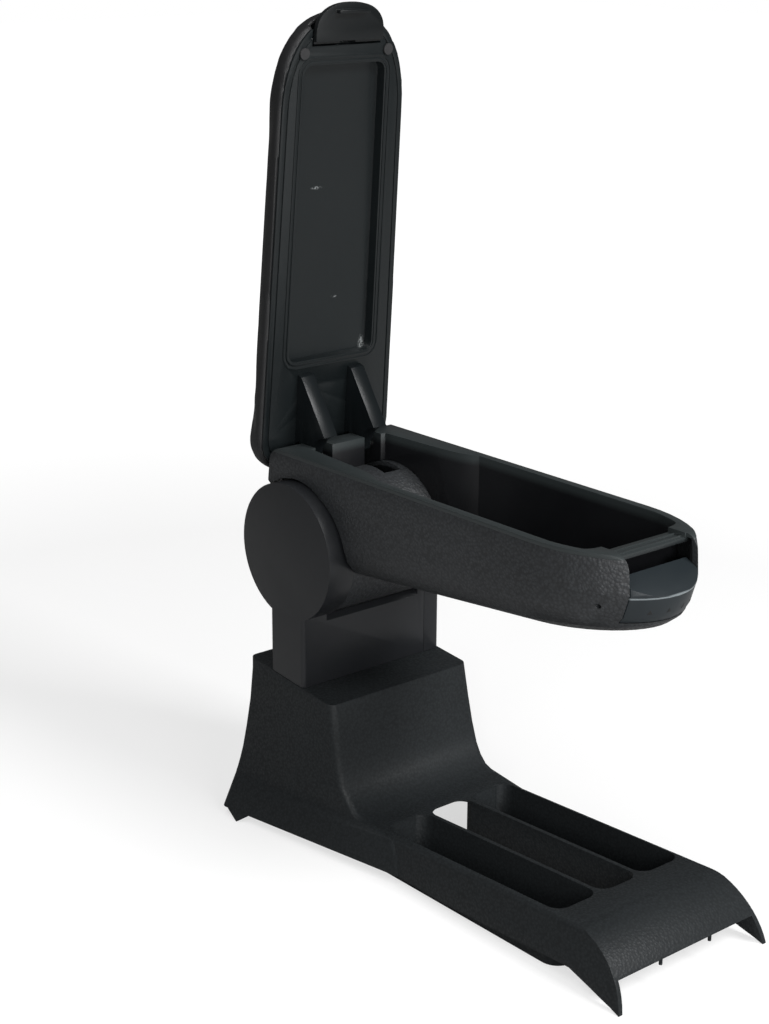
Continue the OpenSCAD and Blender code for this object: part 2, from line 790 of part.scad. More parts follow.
// Inner outline of the well, grown by grow
function well_half(grow) =
  let (w = well_half_w + grow, t = throat_half_w + grow, r = well_r + grow)
    concat(arc(w - r, -well_front - grow + r, r, -90, 0, 6),
      [[w, -well_rear - 4], [w - 1.9, -well_rear - 1], [w - 5.7, -well_rear + 9], [t, -39], [t - 3.2, 8 + grow]]);

module well_plan(grow) {
  polygon(concat(well_half(grow), [for (p = reverse(well_half(grow))) [-p[0], p[1]]]));
}

module above_floor(height) {
  on_bin_floor() block([-80, -400, height], [80, 100, height + 200]);
}

module rail_ridges() {
  for (y = [-well_front - 4.5, -well_front - 9.5])
    block([-rail_cut_half, y - 0.5, rim_z - 3.4], [rail_cut_half, y + 0.5, rim_z - 2.3]);
}

module bin_liner() {
  w = well_wall;
  rail_y = -well_front - rail_w;
  color(dark_plastic) difference() {
    union() {
      difference() {
        union() {
          translate([0, 0, rim_z - rim_t]) linear_extrude(rim_t) polygon(bin_outline(0.5));
          intersection() {
            bin_form(shell_wall + 0.3);
            union() {
              intersection() {
                linear_extrude(rim_z - 1) well_plan(w);
                above_floor(10);
              }
              both_sides() block([arm_out + 1.4, 8, 200], [throat_half_w, 40, rim_z - 1]);
              block([-arm_out + arm_t + 1.6, 8, 200], [arm_out - arm_t - 1.6, 40, rim_z - 1]);
              block([-throat_half_w, hinge_y + 5.2, hinge_z - 16], [throat_half_w, 40, rim_z - 1]);
              block([-rail_cut_half - 3, rail_y, rim_z - 5.4], [rail_cut_half + 3, -well_front + 0.6, rim_z - 2.4]);
            }
          }
        }
        intersection() {
          bin_form(shell_wall + 0.3 + w);
          linear_extrude(rim_z + 1) well_plan(0);
          above_floor(12.5);
        }
        translate([0, 0, rim_z - 6]) linear_extrude(10) intersection() {
          well_plan(0);
          polygon(bin_outline(shell_wall + w + 0.7));
        }
        block([-rail_cut_half, rail_y - 1, rim_z - 3], [rail_cut_half, -well_front + 1, rim_z + 1]);
      }
      rail_ridges();
    }
    rod_x(-barrel_half_w + 3.3, barrel_half_w - 3.3, 0, pivot_z, barrel_r + 0.3, $fn = 96);
    both_sides() rod_x(barrel_half_w - 3.4, 80, 0, pivot_z, hub_cut_r + shell_wall + 0.3, $fn = 96);
    block([-paddle_half_w - 0.6, -bin_nose - 5, rim_z - 20], [paddle_half_w + 0.6, rail_y, rim_z + 1]);
    both_sides() rod_x(barrel_half_w - 3.4, 80, hub_shift[0], pivot_z + hub_shift[1], hub_cut_r + shell_wall + 0.3, $fn = 96);
    arm_slots();
    rear_round();
    horn_round();
    rod_x(-50, 50, hinge_y, hinge_z, hinge_pin_r + run_gap);
    on_bin_floor() for (x = [-screw_x, screw_x], y = screw_y)
      translate([x, y, 5]) cylinder(h = 12, r = 1.7, $fn = 24);
  }
}

module liner_screws() {
  color(steel) on_bin_floor() for (x = [-screw_x, screw_x], y = screw_y) translate([x, y, 0]) {
    translate([0, 0, 4.5]) cylinder(h = 9, r = 1.4, $fn = 24);
    difference() {
      translate([0, 0, 12.55]) cylinder(h = 1.8, r = 3, $fn = 32);
      translate([-0.4, -2.4, 13.4]) cube([0.8, 4.8, 2]);
      translate([-2.4, -0.4, 13.4]) cube([4.8, 0.8, 2]);
    }
  }
}

// Release of the tilt: paddle, rod and pawl

module under_paddle_top(depth) {
  rise = (paddle_rear_z - paddle_z) / (bin_nose - nose_open_y);
  along_x(-70, 70) polygon([[-bin_nose - 20, paddle_z - depth - 20 * rise],
    [-nose_open_y + 20, paddle_rear_z - depth + 20 * rise], [-nose_open_y + 20, 190], [-bin_nose - 20, 190]]);
}

module release_paddle() {
  color(dark_plastic) difference() {
    union() {
      difference() {
        intersection() {
          bin_form(0.25);
          block([-paddle_half_w, -bin_nose - 3, paddle_low_z], [paddle_half_w, -nose_open_y - 0.4, 260]);
          under_paddle_top(0);
        }
        intersection() {
          bin_form(3);
          block([-paddle_half_w + 2.2, -bin_nose - 3, 190], [paddle_half_w - 2.2, -nose_open_y + 5, 260]);
          under_paddle_top(2.4);
        }
      }
      both_sides() along_x(paddle_half_w - 2.2, paddle_half_w) polygon([
        [-nose_open_y - 4, paddle_low_z + 3], [paddle_pin_y + 1, paddle_pin_z - 3.3], [paddle_pin_y + 3.3, paddle_pin_z],
        [paddle_pin_y + 1, paddle_pin_z + 3.3], [-nose_open_y - 0.4, paddle_rear_z - 3], [-nose_open_y - 4, paddle_rear_z - 4]]);
      rod_x(-paddle_half_w, paddle_half_w, paddle_pin_y, paddle_pin_z, 3.4);
      both_sides() along_x(2.2, 4.4) polygon([[paddle_pin_y - 3, paddle_pin_z], [paddle_pin_y + 3, paddle_pin_z],
        [paddle_pin_y + 2.8, rod_front_z - 2.6], [paddle_pin_y - 2.8, rod_front_z - 2.6]]);
    }
    rod_x(-40, 40, paddle_pin_y, paddle_pin_z, 1.5 + run_gap);
    for (z = [-0.4, 0, 0.4]) rod_x(-6, 6, paddle_pin_y, rod_front_z + z, 1.3, $fn = 32);
  }
}

module paddle_pin() {
  color(steel) rod_x(-paddle_half_w - 6, paddle_half_w + 6, paddle_pin_y, paddle_pin_z, 1.5);
}

module paddle_spring() {
  color(steel) translate([-17, paddle_pin_y, paddle_pin_z]) coil(4.4, 0.5, 5, 1.3);
}

module release_rod() {
  color(steel) {
    on_bin_floor() translate([0, pawl_y - 1.4, rod_height]) rotate([90, 0, 0])
      cylinder(h = pawl_y - paddle_pin_y + 1.6, r = rod_r, $fn = 32);
    rod_x(-4, 4, paddle_pin_y, rod_front_z, 1.2, $fn = 32);
    rod_x(-4, 4, pawl_y - 2, rod_rear_z, 1.2, $fn = 32);
  }
}

module locking_pawl() {
  tip = -ratchet_r - 0.4;
  color(steel) difference() {
    union() {
      rod_x(-2.5, 2.5, pawl_y, pawl_z, 3.4);
      along_x(-2.5, 2.5) polygon([[pawl_y - 3.2, pawl_z], [pawl_y + 3.2, pawl_z], [pawl_y + 3, pivot_z + 4],
        [tip, pivot_z + 0.8], [tip, pivot_z - 0.8], [pawl_y + 2, pivot_z - 3], [pawl_y - 4.5, pivot_z - 2]]);
      along_x(-4.2, 4.2) polygon([[pawl_y - 5, pivot_z + 2], [pawl_y + 0.6, pivot_z + 2], [pawl_y + 0.6, pivot_z - 5.4],
        [pawl_y - 5, pivot_z - 5.4]]);
    }
    block([-2.1, pawl_y - 10, pivot_z - 6], [2.1, pawl_y - 0.4, pivot_z + 3.5]);
    rod_x(-4, 4, pawl_y, pawl_z, 1.5 + run_gap);
    for (z = [-0.4, 0, 0.4]) rod_x(-6, 6, pawl_y - 2, rod_rear_z + z, 1.3, $fn = 32);
  }
}

module pawl_pin() {
  color(steel) rod_x(-7, 11, pawl_y, pawl_z, 1.5);
}

module pawl_spring() {
  color(steel) translate([6.2, pawl_y, pawl_z]) coil(2.3, 0.4, 4, 1);
}

// Lid, drawn closed and then swung open about its pin

module open_lid() {
  translate([0, hinge_y, hinge_z]) rotate([-lid_open, 0, 0]) translate([0, -hinge_y, -hinge_z]) children();
}

// Plan outline of the lid, drawn in by inset
function lid_outline(inset) =
  let (y = lid_rear - inset, a = lid_half_w - inset, r = 22 - inset * 0.6, corner = arc(a - r, y - r, r, 0, 90, 7))
    concat(
      [for (p = round_end(lid_nose_half_w - inset, lid_nose_len - inset, 2.4)) [p[0], p[1] - lid_front + lid_nose_len]],
      corner,
      [for (p = reverse(corner)) [-p[0], p[1]]]);

lid_z = rim_z + lid_gap;

module lid_plate(z, inset, t = 0.1) {
  translate([0, 0, lid_z + z]) linear_extrude(t) polygon(lid_outline(inset));
}

// The padded outer form of the lid
module pad_form() {
  t = lid_t;
  hull() {
    lid_plate(0, 0.5);
    lid_plate(2.4, 0, t * 0.51 - 2.4);
    lid_plate(t * 0.74, 1.5);
    lid_plate(t * 0.886, 6);
    lid_plate(t * 0.97, 16);
    lid_plate(t - 0.1, 26);
  }
}

module lid_pad() {
  color(dark_plastic) open_lid() difference() {
    pad_form();
    translate([0, 0, lid_z - 1]) linear_extrude(lid_liner_t + 1.3) polygon(lid_outline(pad_side));
    block([-lever_half_w - 0.8, -lid_front - 5, lid_z - 1], [lever_half_w + 0.8, lever_y + 4, lid_z + 5]);
  }
}

// Outline of the sunk panel inside the lid, grown by grow
module panel_plan(grow) {
  r = 6 + grow;
  a = 34.4 + grow;
  b = 31.8 + grow;
  y0 = -229 - grow;
  y1 = -40 + grow;
  polygon(concat(arc(-b + r, y0 + r, r, 180, 270, 5), arc(b - r, y0 + r, r, 270, 360, 5),
    arc(a - r, y1 - r, r, 0, 90, 5), arc(-a + r, y1 - r, r, 90, 180, 5)));
}

module panel_line(grow) {
  translate([0, 0, lid_z - 0.6]) linear_extrude(1) difference() {
    panel_plan(grow + 1.1);
    panel_plan(grow);
  }
}

module lid_liner() {
  color(dark_plastic) open_lid() difference() {
    union() {
      translate([0, 0, lid_z]) linear_extrude(lid_liner_t) polygon(lid_outline(pad_side + 0.3));
      panel_line(1.2);
      panel_line(3.9);
    }
    translate([0, 0, lid_z - 1]) linear_extrude(panel_depth + 1) panel_plan(0);
    translate([0, 0, lid_z - 1]) linear_extrude(1.8) difference() {
      polygon(lid_outline(pad_side + 3.6));
      polygon(lid_outline(pad_side + 4.8));
    }
    block([-lever_half_w - 0.6, -lid_front - 5, lid_z - 1], [lever_half_w + 0.6, lever_y + 4, lid_z + panel_depth]);
    rod_x(-lever_half_w - 3.2, lever_half_w + 3.2, lever_y, lever_z, 1.5 + run_gap);
    both_sides() for (y = arm_screw_y) translate([arm_out - arm_t / 2, y, lid_z - 1]) {
      cylinder(h = lid_liner_t + 2, r = 1.65, $fn = 24);
      translate([0, 0, lid_liner_t - 1.6]) cylinder(h = 4, r = 3.4, $fn = 32);
    }
    both_sides() translate([33, bumper_y, lid_z - 1]) cylinder(h = 4, r = 1.55, $fn = 24);
  }
}

// Side outline of a hinge arm with the lid closed
module arm_outline() {
  y = hinge_y;
  z = hinge_z;
  polygon([[y - 5.6, lid_z], [y - 53.3, lid_z], [y - 52.6, lid_z - 3.5], [y - 18.8, z - 19.9], [y - 16.9, z - 14.5],
    [y - 12.4, z - 9.6], [y - 6, z - 6], [y + 1.4, z - 4.9], [y + 4.3, z - 2.4], [y + 3.3, z + 3.2], [y - 2.6, z + 4.8], [y - 9.1, z + 5.7], [y - 6.9, z + 8.8]]);
}

module hinge_arm() {
  difference() {
    along_x(arm_out - arm_t, arm_out) arm_outline();
    rod_x(0, 40, hinge_y, hinge_z, hinge_pin_r + run_gap);
    for (y = arm_screw_y) translate([arm_out - arm_t / 2, y, lid_z - 7.6]) cylinder(h = 9, r = 1.65, $fn = 24);
  }
}

module right_hinge_arm() {
  color(dark_plastic) open_lid() hinge_arm();
}

module left_hinge_arm() {
  color(dark_plastic) open_lid() mirror([1, 0, 0]) hinge_arm();
}

module arm_screws() {
  color(steel) open_lid() both_sides() for (y = arm_screw_y) translate([arm_out - arm_t / 2, y, lid_z]) {
    translate([0, 0, -7.2]) cylinder(h = lid_liner_t + 5, r = 1.6, $fn = 24);
    difference() {
      translate([0, 0, lid_liner_t - 2.6]) cylinder(h = 1.9, r = 3, $fn = 32);
      translate([-0.4, -2.4, lid_liner_t - 1.3]) cube([0.8, 4.8, 1.4]);
      translate([-2.4, -0.4, lid_liner_t - 1.3]) cube([4.8, 0.8, 1.4]);
    }
  }
}

module lid_hinge_pin() {
  color(steel) rod_x(-throat_half_w + 1.5, throat_half_w - 1.5, hinge_y, hinge_z, hinge_pin_r);
}

module lid_bumpers() {
  color(rubber) open_lid() both_sides() translate([33, bumper_y, lid_z]) {
    translate([0, 0, -1.1]) cylinder(h = 1.05, r = 3.5, $fn = 40);
    translate([0, 0, -0.5]) cylinder(h = 3, r = 1.5, $fn = 24);
  }
}

// Latch of the lid

module latch_lever() {
  face = rim_z - 2;
  front = lid_front + lever_reach;
  color(dark_plastic) open_lid() difference() {
    union() {
      translate([0, 0, face]) linear_extrude(lever_t) polygon(concat(
        [[lever_half_w, lever_y + 1], [-lever_half_w, lever_y + 1]],
        [for (p = round_end(lever_half_w, front - 248, 2.4)) [p[0], p[1] - 248]]));
      both_sides() {
        rod_x(6, lever_half_w, lever_y, lever_z, 3);
        block([6, lever_y - 2.6, face + lever_t - 1], [lever_half_w, lever_y + 2.6, lever_z]);
      }
      block([-12, -lid_front - 1.5, face - 3.9], [12, -lid_front + 0.5, face + 1]);
    }
    rod_x(-40, 40, lever_y, lever_z, 1.5 + run_gap);
  }
}

module lever_pin() {
  color(steel) open_lid() rod_x(-lever_half_w - 3, lever_half_w + 3, lever_y, lever_z, 1.5);
}

module lever_spring() {
  color(steel) open_lid() translate([-4.4, lever_y, lever_z]) coil(2.2, 0.4, 7, 1.15);
}

base_console();
support_bracket();
clamp_bolt();
clamp_nut();
column_body();
column_cover();
tilt_shaft();
shaft_washers();
shaft_nut();
ratchet_wheel();
bin_shell();
bin_liner();
left_bush();
right_bush();
liner_screws();
release_rod();
release_paddle();
paddle_pin();
paddle_spring();
locking_pawl();
pawl_pin();
pawl_spring();
lid_hinge_pin();
lid_liner();
lid_pad();
left_hinge_arm();
right_hinge_arm();
arm_screws();
latch_lever();
lever_pin();
lever_spring();
lid_bumpers();
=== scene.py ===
import json
import math

import bpy
from mathutils import Matrix, Vector
from mathutils.bvhtree import BVHTree

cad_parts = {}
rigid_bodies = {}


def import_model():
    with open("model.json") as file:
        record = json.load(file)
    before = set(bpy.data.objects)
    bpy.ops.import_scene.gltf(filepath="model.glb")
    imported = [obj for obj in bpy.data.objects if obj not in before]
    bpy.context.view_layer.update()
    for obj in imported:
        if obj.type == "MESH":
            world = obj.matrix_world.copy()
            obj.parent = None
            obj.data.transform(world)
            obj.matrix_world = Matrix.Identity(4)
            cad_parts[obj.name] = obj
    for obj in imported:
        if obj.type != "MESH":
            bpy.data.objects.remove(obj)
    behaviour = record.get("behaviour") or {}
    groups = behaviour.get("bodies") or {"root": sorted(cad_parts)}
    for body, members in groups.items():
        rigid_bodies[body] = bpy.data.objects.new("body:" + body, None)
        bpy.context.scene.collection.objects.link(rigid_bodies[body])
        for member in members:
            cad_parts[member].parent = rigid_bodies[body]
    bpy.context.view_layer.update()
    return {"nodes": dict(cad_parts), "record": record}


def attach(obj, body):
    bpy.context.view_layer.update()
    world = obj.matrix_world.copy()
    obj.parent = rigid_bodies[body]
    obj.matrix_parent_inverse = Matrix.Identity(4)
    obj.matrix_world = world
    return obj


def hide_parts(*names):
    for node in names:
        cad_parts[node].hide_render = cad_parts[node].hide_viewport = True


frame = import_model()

MM = 0.001
NODES = frame["nodes"]
RECORD = frame["record"]
BODY_OF = {node: body for body, nodes in RECORD["behaviour"]["bodies"].items() for node in nodes}
SLOT_OF = {part["node"]: part["material_slot"] for part in RECORD["subparts"]}

# The lid is worked on closed, with its lower face at LID_Z, and swung open about its pin
HINGE = Vector((0, 22, 243)) * MM
OPEN_TURN = Matrix.Rotation(math.radians(-85), 4, "X")
LID_OPEN = Matrix.Translation(HINGE) @ OPEN_TURN @ Matrix.Translation(-HINGE)
LID_Z = 253.6 * MM

# Copies of CAD nodes: distance that joins points, degrees that count as flat, and degrees of a sharp edge
WELD = 2e-5
FLAT_ANGLE = 0.6
SHARP_ANGLE = 32
CUSHION_SHARP_ANGLE = 50

# The pad's cover: grid of its cloth, how far it may swell and the height that its edge is held to
PAD_GRID = 4.5 * MM
PAD_SLACK = 0.3 * MM
PAD_SWELL = 3 * MM
PAD_HELD = 1.5 * MM
PAD_PRESSURE = 4
PAD_FRAMES = 20

# Space that the pad leaves round the liner, and the lever's notch in the pad, with the lid closed
LINER_GAP = 0.3 * MM
NOTCH_HALF = 27.2 * MM
NOTCH_Y = (-270 * MM, -240.5 * MM)
NOTCH_DEPTH = 5 * MM

# Scuffs on the lid's panel: place with the lid closed, and half length, width and depth of the mark
PANEL_Z = 260.6
SCUFFS = [
    ((-13, -151, PANEL_Z), (5.0, 3, 1.3)),
    ((6, -78, PANEL_Z), (3.2, 3, 0.9)),
    ((31, -43, PANEL_Z), (2.6, 3, 7.0)),
]

# Painted light along edges: paler bands that stand in for light on the bin liner's rim and a painted
# highlight on the paddle's top edge. Middle height, and how far they reach above and below it
RIM_PAINTED_LIGHT = (252.4 * MM, 7 * MM)
PADDLE_PAINTED_HIGHLIGHT = (227.9 * MM, 0.7 * MM)

# The console's grain is full below the first height and this share of it above the second
GRAIN_FADE = (30 * MM, 46 * MM, 0.22)

# Depth that a grain, a fine texture and turning marks would have at full strength
GRAIN_DEPTH = 0.4 * MM
TEXTURE_DEPTH = 0.3 * MM
TURNING_DEPTH = 0.2 * MM

# Noise and cells: how many there are to a metre, and the roughness of every noise
FINE_GRAIN = 1500
BROAD_SHADES = 9
PANEL_SHADES = 14
LEATHER_CREASES = 900
LEATHER_PORES = 2600
LEATHER_SHADES = 20
TURNING_LINES = 420
RUBBER_DUST = 260
RUBBER_GRAIN = 1900
SCUFF_BREAKS = 700
NOISE_ROUGHNESS = 0.55

# Pebbled grain: size of its fine noise, and the shares of noise in height and of pebbles and noise in shade
FINE_RATIO = 2.6
FINE_IN_HEIGHT = 0.5
PEBBLES_IN_SHADE = 0.55
BROAD_IN_SHADE = 0.45

# Grip marks on the release paddle's front, in mm. Each stands out of it by half its length less MARK_SINK
MARK_X = (-16, -4.5, 7.5, 18)
MARK_Z = 218.6
MARK_R = 2.0
MARK_LENGTH = 0.6
MARK_SINK = 0.18
MARK_EDGE = 0.12
IN_FRONT_OF_PADDLE = -400

# Floor: size, grey, and the share of white that it has near the object and far from it
FLOOR_SIZE = 14
FLOOR_DROP = 0.2 * MM
FLOOR_GREY = 0.36
FLOOR_WHITE = (0.65, 1.0)
FLOOR_REACH = (0.6, 1.4)

# The background's share in reflections, and the light that comes from it
MIRRORED_SHARE = 0.12
SKY_LIGHT = 0.09

# Lamps: name, place and point that they face, size in metres and power in watts
LAMPS = [
    ("key_box", (0.55, -1.85, 1.95), (0, -0.1, 0.2), (0.8, 0.8), 62),
    ("front_box", (-0.5, -2.2, 0.65), (0, -0.1, 0.2), (1.2, 0.7), 27),
    ("high_box", (-1.0, -0.3, 2.0), (0, -0.1, 0.25), (0.5, 1.2), 15),
    ("edge_box", (-1.35, -1.45, 0.75), (0, -0.1, 0.3), (0.12, 0.4), 8),
]

# The photo's camera: degrees round the object, above it and of roll, place in metres and lens in mm
CAMERA_TURN = (-40.09, 17.74, 0.33)
CAMERA_PLACE = (-0.7789, -0.9542, 0.5996)
CAMERA_LENS = 68.97
CAMERA_SENSOR = 36
CAMERA_REACH = 50


# Selecting and editing


def deselect_all():
    for thing in bpy.context.view_layer.objects:
        thing.select_set(False)


def choose(piece):
    deselect_all()
    piece.select_set(True)
    bpy.context.view_layer.objects.active = piece


def start_edit(piece):
    choose(piece)
    bpy.ops.object.mode_set(mode="EDIT")
    bpy.ops.mesh.select_mode(type="VERT")
    bpy.ops.mesh.select_all(action="SELECT")


def end_edit():
    bpy.ops.object.mode_set(mode="OBJECT")


def apply_modifier(piece, kind, **settings):
    choose(piece)
    modifier = piece.modifiers.new(kind.title(), kind)
    for key, value in settings.items():
        setattr(modifier, key, value)
    bpy.ops.object.modifier_apply(modifier=modifier.name)


def settle(piece):
    """Puts the piece's place into its mesh."""
    choose(piece)
    bpy.ops.object.transform_apply(location=True, rotation=True, scale=True)


def move_by(piece, matrix):
    piece.matrix_world = matrix @ piece.matrix_world
    settle(piece)


def round_shading(piece, angle=SHARP_ANGLE):
    choose(piece)
    bpy.ops.object.shade_smooth_by_angle(angle=math.radians(angle))


def merged_copy(node, name):
    """A copy of a CAD node with its loose triangles joined and its flat faces made whole."""
    piece = NODES[node].copy()
    piece.data = NODES[node].data.copy()
    piece.name = name
    piece.data.name = name
    for key in list(piece.keys()):
        del piece[key]
    piece.parent = None
    bpy.context.scene.collection.objects.link(piece)
    piece.hide_viewport = False
    piece.hide_render = False
    piece.hide_set(False)
    start_edit(piece)
    bpy.ops.mesh.remove_doubles(threshold=WELD)
    bpy.ops.mesh.dissolve_limited(angle_limit=math.radians(FLAT_ANGLE), delimit=set())
    end_edit()
    return piece


def dress_as(piece, node, material):
    piece.data.materials.clear()
    piece.data.materials.append(material)
    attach(piece, BODY_OF[node])


def moulded_copy(node, name, edge, material, angle=SHARP_ANGLE, segments=2):
    """The CAD node in its place, with its edges softened over a width of edge mm."""
    piece = merged_copy(node, name)
    apply_modifier(piece, "BEVEL", width=edge * MM, segments=segments, limit_method="ANGLE",
                   angle_limit=math.radians(angle), use_clamp_overlap=True, loop_slide=True,
                   harden_normals=False)
    round_shading(piece, angle)
    dress_as(piece, node, material)
    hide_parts(node)
    return piece


# Building blocks of the materials


def new_material(name):
    material = bpy.data.materials.new(name)
    material.use_nodes = True
    tree = material.node_tree
    tree.nodes.clear()
    output = tree.nodes.new("ShaderNodeOutputMaterial")
    shader = tree.nodes.new("ShaderNodeBsdfPrincipled")
    tree.links.new(shader.outputs["BSDF"], output.inputs["Surface"])
    return material, tree, shader


def object_place(tree, scale=(1, 1, 1)):
    place = tree.nodes.new("ShaderNodeTexCoord")
    mapping = tree.nodes.new("ShaderNodeMapping")
    mapping.inputs["Scale"].default_value = scale
    tree.links.new(place.outputs["Object"], mapping.inputs["Vector"])
    return mapping.outputs["Vector"]


def object_height(tree):
    place = tree.nodes.new("ShaderNodeTexCoord")
    parts = tree.nodes.new("ShaderNodeSeparateXYZ")
    tree.links.new(place.outputs["Object"], parts.inputs[0])
    return parts.outputs["Z"]


def noise(tree, place, scale, detail):
    node = tree.nodes.new("ShaderNodeTexNoise")
    node.inputs["Scale"].default_value = scale
    node.inputs["Detail"].default_value = detail
    node.inputs["Roughness"].default_value = NOISE_ROUGHNESS
    tree.links.new(place, node.inputs["Vector"])
    return node.outputs["Fac"]


def cells(tree, place, scale, feature="F1"):
    node = tree.nodes.new("ShaderNodeTexVoronoi")
    node.feature = feature
    node.inputs["Scale"].default_value = scale
    tree.links.new(place, node.inputs["Vector"])
    return node.outputs["Distance"]


def spread(tree, value, given, wanted):
    """Turns the range given of a value into the range wanted, and holds it at the ends."""
    node = tree.nodes.new("ShaderNodeMapRange")
    node.inputs["From Min"].default_value = given[0]
    node.inputs["From Max"].default_value = given[1]
    node.inputs["To Min"].default_value = wanted[0]
    node.inputs["To Max"].default_value = wanted[1]
    tree.links.new(value, node.inputs["Value"])
    return node.outputs["Result"]


def combine(tree, operation, first, second=0):
    node = tree.nodes.new("ShaderNodeMath")
    node.operation = operation
    for socket, value in zip(node.inputs, (first, second)):
        if isinstance(value, (int, float)):
            socket.default_value = value
        else:
            tree.links.new(value, socket)
    return node.outputs["Value"]


def combine_vectors(tree, operation, first, second):
    node = tree.nodes.new("ShaderNodeVectorMath")
    node.operation = operation
    node.inputs[1].default_value = second
    tree.links.new(first, node.inputs[0])
    return node.outputs["Vector"]


def length_of(tree, vector):
    node = tree.nodes.new("ShaderNodeVectorMath")
    node.operation = "LENGTH"
    tree.links.new(vector, node.inputs[0])
    return node.outputs["Value"]


def blend_colours(tree, share, first, second):
    node = tree.nodes.new("ShaderNodeMix")
    node.data_type = "RGBA"
    tree.links.new(share, node.inputs["Factor"])
    for socket, value in ((node.inputs[6], first), (node.inputs[7], second)):
        if isinstance(value, tuple):
            socket.default_value = (*value, 1)
        else:
            tree.links.new(value, socket)
    return node.outputs[2]


def scuff_share(tree):
    """1 on the scuffs of the lid's panel, 0 elsewhere."""
    total = 0.0
    broken = noise(tree, object_place(tree), SCUFF_BREAKS, 3)
    for closed_place, half in SCUFFS:
        centre = LID_OPEN @ (Vector(closed_place) * MM)
        offset = combine_vectors(tree, "SUBTRACT", object_place(tree), centre)
        ratio = combine_vectors(tree, "DIVIDE", offset, Vector(half) * MM)
        mark = spread(tree, length_of(tree, ratio), (0.4, 1.0), (1.0, 0.0))
        total = combine(tree, "MAXIMUM", total, mark)
    return combine(tree, "MULTIPLY", total, spread(tree, broken, (0.42, 0.6), (0.0, 1.0)))


def raise_surface(tree, shader, height, strength, depth):
    node = tree.nodes.new("ShaderNodeBump")
    node.inputs["Strength"].default_value = strength
    node.inputs["Distance"].default_value = depth
    tree.links.new(height, node.inputs["Height"])
    tree.links.new(node.outputs["Normal"], shader.inputs["Normal"])


def near_height(tree, height, half):
    """1 at the height, falling to 0 at half above and below it."""
    apart = combine(tree, "ABSOLUTE", combine(tree, "SUBTRACT", object_height(tree), height))
    return spread(tree, apart, (half * 0.4, half), (1.0, 0.0))


# Kinds of material


def grained_plastic(name, dark, pale, grain, strength, gloss, fade=None, shine=0.5):
    """Moulded plastic with pebbled leather grain, which may fade with height."""
    material, tree, shader = new_material(name)
    place = object_place(tree)
    pebbles = spread(tree, cells(tree, place, grain), (0.0, 0.75), (1.0, 0.0))
    fine = noise(tree, place, grain * FINE_RATIO, 2)
    broad = noise(tree, place, BROAD_SHADES, 2)
    height = combine(tree, "ADD", pebbles, combine(tree, "MULTIPLY", fine, FINE_IN_HEIGHT))
    if fade:
        low, high, least = fade
        share = spread(tree, object_height(tree), (low, high), (1.0, least))
        height = combine(tree, "MULTIPLY", height, share)
    pebble_shade = combine(tree, "MULTIPLY", pebbles, PEBBLES_IN_SHADE)
    shade = combine(tree, "ADD", pebble_shade, combine(tree, "MULTIPLY", broad, BROAD_IN_SHADE))
    tree.links.new(blend_colours(tree, shade, dark, pale), shader.inputs["Base Color"])
    tree.links.new(spread(tree, pebbles, (0, 1), (gloss + 0.14, gloss - 0.02)), shader.inputs["Roughness"])
    shader.inputs["Specular IOR Level"].default_value = shine
    raise_surface(tree, shader, height, strength, GRAIN_DEPTH)
    return material


def fine_plastic(name, dark, pale, strength=0.14, gloss=0.4, band=None, painted_light_colour=None, shine=0.5):
    """Moulded plastic with a fine spark-eroded texture, which may have a band of painted light: a paler
    colour along an edge where light catches it.
    """
    material, tree, shader = new_material(name)
    place = object_place(tree)
    fine = noise(tree, place, FINE_GRAIN, 2)
    broad = noise(tree, place, PANEL_SHADES, 3)
    colour = blend_colours(tree, broad, dark, pale)
    # Painted light: the band's paler colour stands in for light on an edge
    if band:
        colour = blend_colours(tree, near_height(tree, *band), colour, painted_light_colour)
    tree.links.new(colour, shader.inputs["Base Color"])
    tree.links.new(spread(tree, broad, (0.3, 0.7), (gloss - 0.05, gloss + 0.06)), shader.inputs["Roughness"])
    shader.inputs["Specular IOR Level"].default_value = shine
    raise_surface(tree, shader, fine, strength, TEXTURE_DEPTH)
    return material


def scuffed_plastic(name, dark, pale, scuff):
    """Fine plastic with the pale scuffs of the lid's panel."""
    material, tree, shader = new_material(name)
    place = object_place(tree)
    broad = noise(tree, place, PANEL_SHADES, 3)
    plain = blend_colours(tree, broad, dark, pale)
    tree.links.new(blend_colours(tree, scuff_share(tree), plain, scuff), shader.inputs["Base Color"])
    tree.links.new(spread(tree, broad, (0.3, 0.7), (0.3, 0.42)), shader.inputs["Roughness"])
    shader.inputs["Specular IOR Level"].default_value = 0.36
    raise_surface(tree, shader, noise(tree, place, FINE_GRAIN, 2), 0.2, TEXTURE_DEPTH)
    return material


def imitation_leather(name, dark, pale):
    """The lid's covering: small creased cells with a low sheen."""
    material, tree, shader = new_material(name)
    place = object_place(tree)
    creases = spread(tree, cells(tree, place, LEATHER_CREASES, "DISTANCE_TO_EDGE"), (0.0, 0.16), (0.0, 1.0))
    pores = noise(tree, place, LEATHER_PORES, 2)
    broad = noise(tree, place, LEATHER_SHADES, 3)
    height = combine(tree, "ADD", creases, combine(tree, "MULTIPLY", pores, 0.35))
    shade = combine(tree, "MULTIPLY", creases, broad)
    tree.links.new(blend_colours(tree, shade, dark, pale), shader.inputs["Base Color"])
    tree.links.new(spread(tree, creases, (0, 1), (0.66, 0.5)), shader.inputs["Roughness"])
    raise_surface(tree, shader, height, 0.3, TEXTURE_DEPTH)
    return material


def turned_steel(name, dark, pale, gloss=0.32):
    """Steel with turning marks round the pins, which lie along X."""
    material, tree, shader = new_material(name)
    lines = noise(tree, object_place(tree, (1, 14, 14)), TURNING_LINES, 3)
    tree.links.new(blend_colours(tree, lines, dark, pale), shader.inputs["Base Color"])
    tree.links.new(spread(tree, lines, (0.2, 0.8), (gloss - 0.08, gloss + 0.1)), shader.inputs["Roughness"])
    shader.inputs["Metallic"].default_value = 1
    raise_surface(tree, shader, lines, 0.1, TURNING_DEPTH)
    return material


